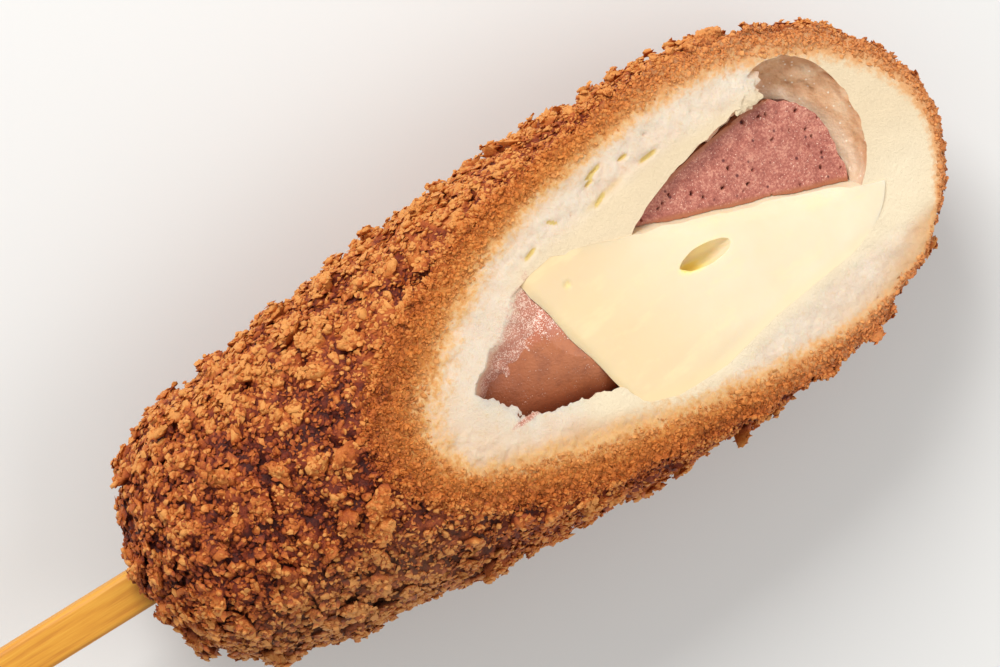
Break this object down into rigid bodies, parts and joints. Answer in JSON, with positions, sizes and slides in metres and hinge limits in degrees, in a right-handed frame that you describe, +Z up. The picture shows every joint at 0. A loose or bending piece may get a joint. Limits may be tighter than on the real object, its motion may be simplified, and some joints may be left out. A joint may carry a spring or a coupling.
{
  "type": "corn dog",
  "caption": "Breaded corn dog on a flat wooden stick, cut open along a slant over its cheese and sausage filling, lying on its uncut back.",
  "frame": {"origin": "middle of the small flat spot that the food rests on, under its uncut back", "axes": "+X along the food from the stick to the cut tip, +Z up out of the cut face, +Y across it"},
  "size_m": [0.2261, 0.054, 0.0464],
  "materials": {
    "crust": "deep-fried breadcrumbs, golden to red-brown, on a pale porous dough",
    "cheese": "smooth creamy mild cheese, slightly translucent",
    "sausage_skin": "smooth moist brown sausage skin",
    "sausage_meat": "fine pink cut sausage meat with dark specks",
    "wood": "plain planed bamboo with straight grain"
  },
  "bodies": {
    "root": {"breaded_dough": "crust", "cheese": "cheese", "sausage_lower": "sausage_skin", "sausage_upper": "sausage_meat", "stick": "wood"}
  },
  "joints": []
}
